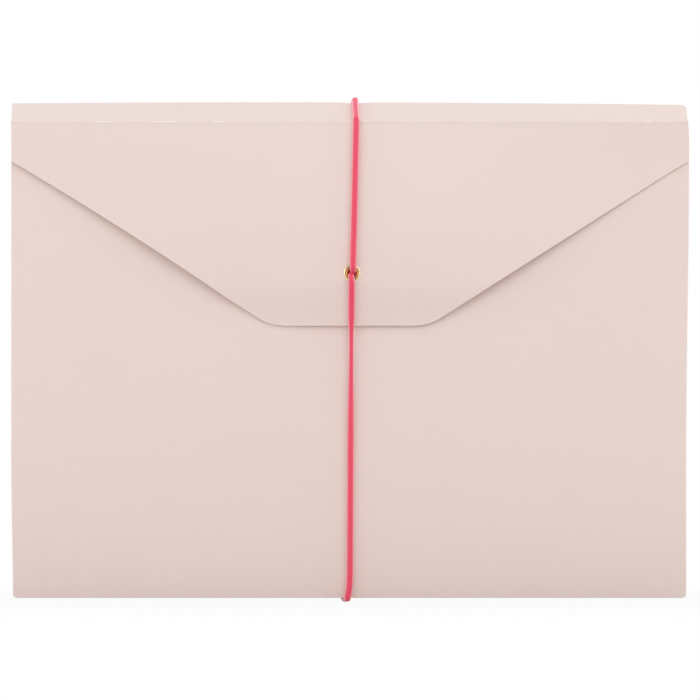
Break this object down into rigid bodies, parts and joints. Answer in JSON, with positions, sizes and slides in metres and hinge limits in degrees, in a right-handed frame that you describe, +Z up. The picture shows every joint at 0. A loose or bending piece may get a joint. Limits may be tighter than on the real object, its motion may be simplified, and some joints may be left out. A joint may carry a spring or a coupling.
{
  "type": "expanding file pocket",
  "caption": "Expanding file of translucent matte plastic sheet: pleated pockets between bowed covers, an envelope flap with an eyelet, held shut by a round elastic loop.",
  "frame": {"origin": "centre of the bounding box's base, at the level of the covers' bottom edges, on which the file stands", "axes": "+Z up along the standing file, +X to the right of somebody who faces the flap, and -Y out of the front cover"},
  "size_m": [0.33, 0.0464, 0.2447],
  "materials": {
    "cover_plastic": "pale blush polypropylene sheet with a fine matte grain",
    "divider_plastic": "thinner pale blush polypropylene sheet, matte",
    "gusset_plastic": "thin pale blush polypropylene film, creased and welded",
    "elastic": "braided coral pink textile cover over a rubber core",
    "eyelet_metal": "polished, pressed thin sheet"
  },
  "bodies": {
    "back": {"back_cover": "cover_plastic", "gusset_1": "gusset_plastic", "elastic_rear": "elastic"},
    "panel": {"top_panel": "cover_plastic", "elastic_top": "elastic"},
    "flap": {"flap": "cover_plastic", "eyelet": "eyelet_metal", "eyelet_washer": "eyelet_metal", "elastic_knot": "elastic", "elastic_upper": "elastic"},
    "lower_elastic": {"elastic_lower": "elastic"},
    "divider_1": {"divider_1": "divider_plastic", "gusset_2": "gusset_plastic"},
    "divider_2": {"divider_2": "divider_plastic", "gusset_3": "gusset_plastic"},
    "divider_3": {"divider_3": "divider_plastic", "gusset_4": "gusset_plastic"},
    "divider_4": {"divider_4": "divider_plastic", "gusset_5": "gusset_plastic"},
    "divider_5": {"divider_5": "divider_plastic", "gusset_6": "gusset_plastic"},
    "front": {"front_cover": "cover_plastic"}
  },
  "joints": [
    {"name": "pocket_1_spread", "type": "slide", "parent": "back", "child": "divider_1", "axis": [0, -1, 0], "range_m": [0, 0.012], "deforming": ["gusset_1"]},
    {"name": "pocket_2_spread", "type": "slide", "parent": "divider_1", "child": "divider_2", "axis": [0, -1, 0], "range_m": [0, 0.012], "deforming": ["gusset_2"]},
    {"name": "pocket_3_spread", "type": "slide", "parent": "divider_2", "child": "divider_3", "axis": [0, -1, 0], "range_m": [0, 0.012], "deforming": ["gusset_3"]},
    {"name": "pocket_4_spread", "type": "slide", "parent": "divider_3", "child": "divider_4", "axis": [0, -1, 0], "range_m": [0, 0.012], "deforming": ["gusset_4"]},
    {"name": "pocket_5_spread", "type": "slide", "parent": "divider_4", "child": "divider_5", "axis": [0, -1, 0], "range_m": [0, 0.012], "deforming": ["gusset_5"]},
    {"name": "pocket_6_spread", "type": "slide", "parent": "divider_5", "child": "front", "axis": [0, -1, 0], "range_m": [0, 0.012], "deforming": ["gusset_6"]},
    {"name": "flap_open", "type": "hinge", "parent": "back", "child": "panel", "pos_m": [0, 0.01957, 0.24105], "axis": [-1, 0, 0], "range_deg": [0, 126], "deforming": ["elastic_top", "elastic_rear"]},
    {"name": "flap_fold", "type": "hinge", "parent": "panel", "child": "flap", "pos_m": [0, -0.01213, 0.23205], "axis": [-1, 0, 0], "range_deg": [0, 74], "deforming": ["elastic_upper"]},
    {"name": "elastic_swing", "type": "hinge", "parent": "flap", "child": "lower_elastic", "pos_m": [0.0006, -0.01972, 0.15685], "axis": [0, 0.9848, 0.1736], "range_deg": [0, 180], "deforming": ["elastic_lower"]}
  ],
  "couplings": [
    {"joint": "pocket_2_spread", "follows": "pocket_1_spread", "ratio": 1},
    {"joint": "pocket_3_spread", "follows": "pocket_1_spread", "ratio": 1},
    {"joint": "pocket_4_spread", "follows": "pocket_1_spread", "ratio": 1},
    {"joint": "pocket_5_spread", "follows": "pocket_1_spread", "ratio": 1},
    {"joint": "pocket_6_spread", "follows": "pocket_1_spread", "ratio": 1},
    {"joint": "flap_open", "follows": "pocket_1_spread", "rad_per_m": 183.26},
    {"joint": "flap_fold", "follows": "pocket_1_spread", "rad_per_m": 107.63},
    {"joint": "elastic_swing", "follows": "pocket_1_spread", "rad_per_m": 261.8}
  ]
}
